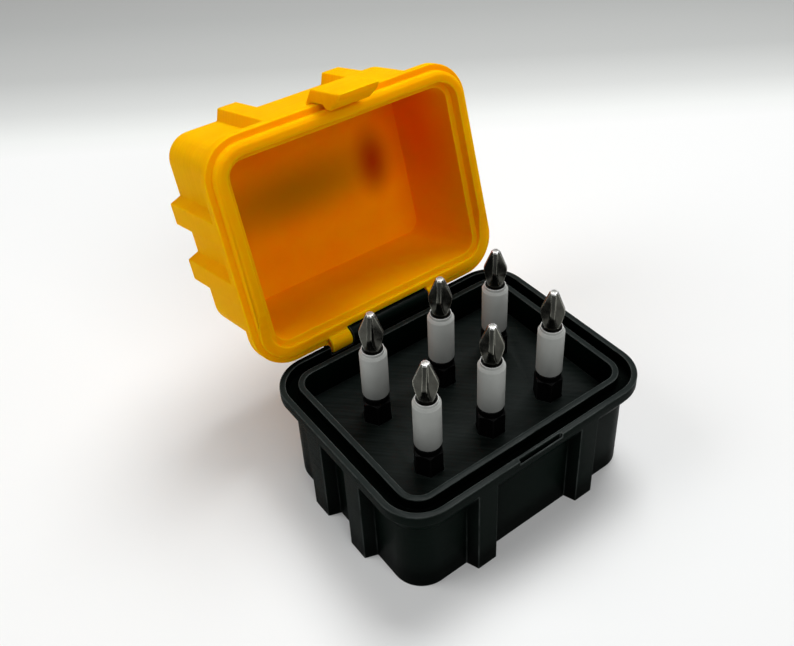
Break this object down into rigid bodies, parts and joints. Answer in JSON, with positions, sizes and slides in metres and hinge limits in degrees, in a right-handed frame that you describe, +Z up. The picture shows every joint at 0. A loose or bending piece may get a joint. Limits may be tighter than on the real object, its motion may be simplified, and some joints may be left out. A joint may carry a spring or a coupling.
{
  "type": "drill bit case",
  "caption": "Small ribbed plastic case with a hinged lid, a snap latch on the front and a tray of hex sockets that holds upright sleeved cross-head screwdriver bits.",
  "frame": {"origin": "centre of the base's underside", "axes": "+X along the hinge to the right, -Y towards the latch side, +Z up; the lid is stored open and leans back over +Y"},
  "size_m": [0.0734, 0.1023, 0.0913],
  "materials": {
    "base_plastic": "satin",
    "tray_plastic": "matte",
    "lid_plastic": "satin",
    "pin_steel": "satin",
    "bit_steel": "satin",
    "sleeve_plastic": "matte"
  },
  "bodies": {
    "base": {"base_shell": "base_plastic", "bit_tray": "tray_plastic", "hinge_pin": "pin_steel"},
    "lid": {"lid_shell": "lid_plastic"},
    "latch": {"latch_tab": "lid_plastic"},
    "bit_back_left": {"bit_back_left": "bit_steel", "sleeve_back_left": "sleeve_plastic"},
    "bit_back_middle": {"bit_back_middle": "bit_steel", "sleeve_back_middle": "sleeve_plastic"},
    "bit_back_right": {"bit_back_right": "bit_steel", "sleeve_back_right": "sleeve_plastic"},
    "bit_front_left": {"bit_front_left": "bit_steel", "sleeve_front_left": "sleeve_plastic"},
    "bit_front_middle": {"bit_front_middle": "bit_steel", "sleeve_front_middle": "sleeve_plastic"},
    "bit_front_right": {"bit_front_right": "bit_steel", "sleeve_front_right": "sleeve_plastic"}
  },
  "joints": [
    {"name": "lid_hinge", "type": "hinge", "parent": "base", "child": "lid", "pos_m": [0, 0.0292, 0.0282], "axis": [-1, 0, 0], "range_deg": [-106, 0]},
    {"name": "latch_flex", "type": "hinge", "parent": "lid", "child": "latch", "pos_m": [0, 0.05049, 0.08285], "axis": [-1, 0, 0], "range_deg": [0, 6], "stiffness_Nm_per_rad": 1},
    {"name": "lift_back_left", "type": "slide", "parent": "base", "child": "bit_back_left", "axis": [0, 0, 1], "range_m": [0, 0.03]},
    {"name": "lift_back_middle", "type": "slide", "parent": "base", "child": "bit_back_middle", "axis": [0, 0, 1], "range_m": [0, 0.03]},
    {"name": "lift_back_right", "type": "slide", "parent": "base", "child": "bit_back_right", "axis": [0, 0, 1], "range_m": [0, 0.03]},
    {"name": "lift_front_left", "type": "slide", "parent": "base", "child": "bit_front_left", "axis": [0, 0, 1], "range_m": [0, 0.03]},
    {"name": "lift_front_middle", "type": "slide", "parent": "base", "child": "bit_front_middle", "axis": [0, 0, 1], "range_m": [0, 0.03]},
    {"name": "lift_front_right", "type": "slide", "parent": "base", "child": "bit_front_right", "axis": [0, 0, 1], "range_m": [0, 0.03]}
  ]
}
